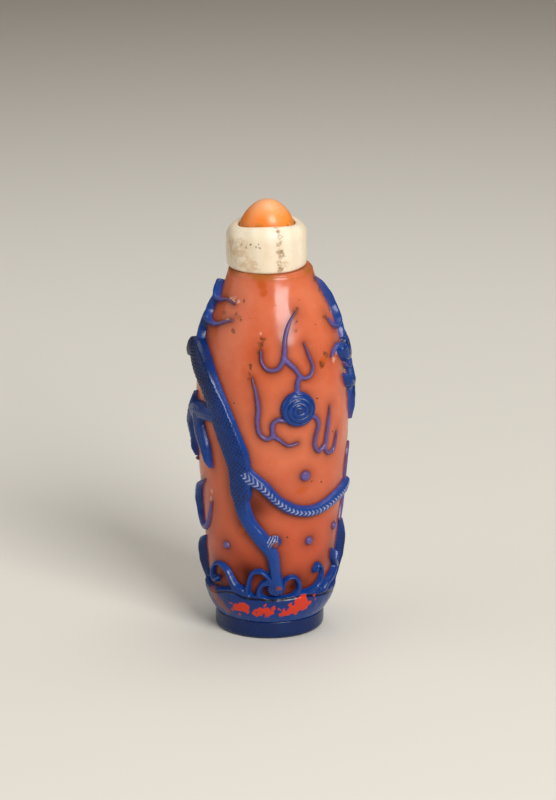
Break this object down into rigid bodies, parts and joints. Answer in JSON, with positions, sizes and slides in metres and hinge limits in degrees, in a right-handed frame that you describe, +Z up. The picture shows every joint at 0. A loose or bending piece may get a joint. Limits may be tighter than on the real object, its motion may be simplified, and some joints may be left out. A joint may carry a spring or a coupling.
{
  "type": "snuff bottle",
  "caption": "Small round glass snuff bottle with a carved overlay of a dragon, pearl, clouds and waves, and a bone stopper with a domed cap.",
  "frame": {"origin": "centre of the foot's underside, on the surface that the bottle stands on", "axes": "+Z up along the bottle, -Y towards the front with the flaming pearl, +X to the right as one looks at the front"},
  "size_m": [0.0304, 0.0297, 0.0788],
  "materials": {
    "overlay_glass": "opaque coral pink glass, polished, under a carved layer of cobalt blue glass",
    "bone": "turned and polished bone, cream with brown stains",
    "cap_glass": "polished orange cabochon, clouded"
  },
  "bodies": {
    "root": {"bottle": "overlay_glass", "stopper_collar": "bone", "stopper_cap": "cap_glass"}
  },
  "joints": []
}
